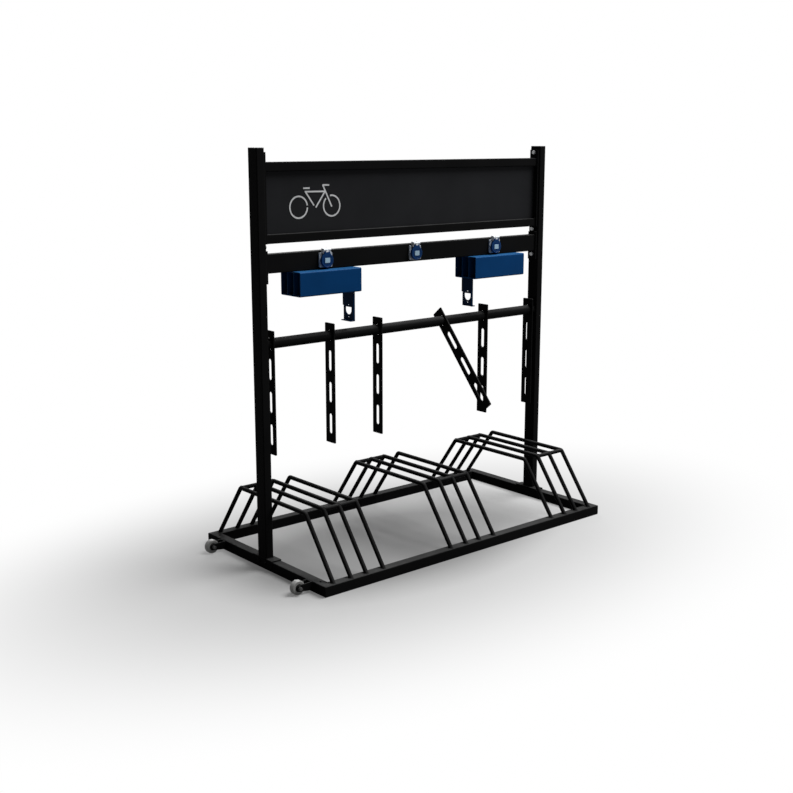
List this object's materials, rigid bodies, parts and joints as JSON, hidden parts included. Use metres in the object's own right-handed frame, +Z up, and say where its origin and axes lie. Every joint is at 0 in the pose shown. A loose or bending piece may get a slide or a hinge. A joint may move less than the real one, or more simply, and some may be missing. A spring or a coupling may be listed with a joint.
{
  "type": "bicycle parking rack with lock straps",
  "caption": "Mobile black steel bicycle rack with bent wheel bars, posts with a sign, a charging rail with lidded sockets, and swinging lock straps.",
  "frame": {"origin": "centre of the footprint, at the height of the floor under the base tubes", "axes": "+X along the rack to the viewer's right, away from the transport wheels; +Y from the sign's face to its back; +Z up"},
  "size_m": [1.4052, 0.7, 1.398],
  "materials": {
    "frame_black": "satin",
    "sign_slate": "satin",
    "box_blue": "satin",
    "socket_pale": "matte",
    "lid_blue": "gloss",
    "wheel_grey": "matte",
    "axle_steel": "brushed"
  },
  "bodies": {
    "frame": {"base_rail_front": "frame_black", "base_rail_rear": "frame_black", "base_crossbar_left": "frame_black", "base_crossbar_right": "frame_black", "ramp_1_bar_a": "frame_black", "ramp_1_bar_b_with_rod": "frame_black", "ramp_1_bar_c_with_rod": "frame_black", "ramp_1_bar_d": "frame_black", "ramp_2_bar_a": "frame_black", "ramp_2_bar_b_with_rod": "frame_black", "ramp_2_bar_c_with_rod": "frame_black", "ramp_2_bar_d": "frame_black", "ramp_3_bar_a": "frame_black", "ramp_3_bar_b_with_rod": "frame_black", "ramp_3_bar_c_with_rod": "frame_black", "ramp_3_bar_d": "frame_black", "post_left": "frame_black", "post_right": "frame_black", "post_cap_left": "frame_black", "post_cap_right": "frame_black", "post_foot_left": "frame_black", "post_foot_right": "frame_black", "sign_rail_top": "frame_black", "sign_rail_bottom": "frame_black", "sign_panel": "sign_slate", "sign_plate_left": "frame_black", "sign_plate_right": "frame_black", "socket_rail": "frame_black", "rail_plate_left": "frame_black", "rail_plate_right": "frame_black", "socket_frame_1": "socket_pale", "socket_frame_2": "socket_pale", "socket_frame_3": "socket_pale", "box_left": "box_blue", "box_right": "box_blue", "hanger_left": "box_blue", "hanger_right": "box_blue", "lock_bar": "frame_black", "wheel_fork_front": "frame_black", "wheel_axle_front": "axle_steel", "wheel_fork_rear": "frame_black", "wheel_axle_rear": "axle_steel"},
    "strap_1": {"lock_strap_1": "frame_black"},
    "strap_2": {"lock_strap_2": "frame_black"},
    "strap_3": {"lock_strap_3": "frame_black"},
    "strap_4": {"lock_strap_4": "frame_black"},
    "strap_5": {"lock_strap_5": "frame_black"},
    "strap_6": {"lock_strap_6": "frame_black"},
    "lid_1": {"socket_lid_1": "lid_blue"},
    "lid_2": {"socket_lid_2": "lid_blue"},
    "lid_3": {"socket_lid_3": "lid_blue"},
    "roller_front": {"wheel_front": "wheel_grey"},
    "roller_rear": {"wheel_rear": "wheel_grey"}
  },
  "joints": [
    {"name": "strap_1_swing", "type": "hinge", "parent": "frame", "child": "strap_1", "pos_m": [-0.5816, 0, 0.768], "axis": [1, 0, 0], "range_deg": [-165, 165]},
    {"name": "strap_2_swing", "type": "hinge", "parent": "frame", "child": "strap_2", "pos_m": [-0.3336, 0, 0.768], "axis": [1, 0, 0], "range_deg": [-150, 150]},
    {"name": "strap_3_swing", "type": "hinge", "parent": "frame", "child": "strap_3", "pos_m": [-0.1226, 0, 0.768], "axis": [1, 0, 0], "range_deg": [-165, 165]},
    {"name": "strap_4_swing", "type": "hinge", "parent": "frame", "child": "strap_4", "pos_m": [0.1874, 0, 0.768], "axis": [1, 0, 0], "range_deg": [-125, 205]},
    {"name": "strap_5_swing", "type": "hinge", "parent": "frame", "child": "strap_5", "pos_m": [0.3984, 0, 0.768], "axis": [1, 0, 0], "range_deg": [-150, 150]},
    {"name": "strap_6_swing", "type": "hinge", "parent": "frame", "child": "strap_6", "pos_m": [0.6464, 0, 0.768], "axis": [1, 0, 0], "range_deg": [-165, 165]},
    {"name": "lid_1_hinge", "type": "hinge", "parent": "frame", "child": "lid_1", "pos_m": [-0.3626, -0.0262, 1.064], "axis": [-1, 0, 0], "range_deg": [0, 110], "stiffness_Nm_per_rad": 0.01, "springref_deg": -17.19},
    {"name": "lid_2_hinge", "type": "hinge", "parent": "frame", "child": "lid_2", "pos_m": [0.0354, -0.0262, 1.064], "axis": [-1, 0, 0], "range_deg": [0, 110], "stiffness_Nm_per_rad": 0.01, "springref_deg": -17.19},
    {"name": "lid_3_hinge", "type": "hinge", "parent": "frame", "child": "lid_3", "pos_m": [0.4334, -0.0262, 1.064], "axis": [-1, 0, 0], "range_deg": [0, 110], "stiffness_Nm_per_rad": 0.01, "springref_deg": -17.19},
    {"name": "roller_front_spin", "type": "hinge", "parent": "frame", "child": "roller_front", "pos_m": [-0.6786, -0.265, 0.024], "axis": [0, 1, 0], "continuous": true},
    {"name": "roller_rear_spin", "type": "hinge", "parent": "frame", "child": "roller_rear", "pos_m": [-0.6786, 0.248, 0.024], "axis": [0, 1, 0], "continuous": true}
  ]
}
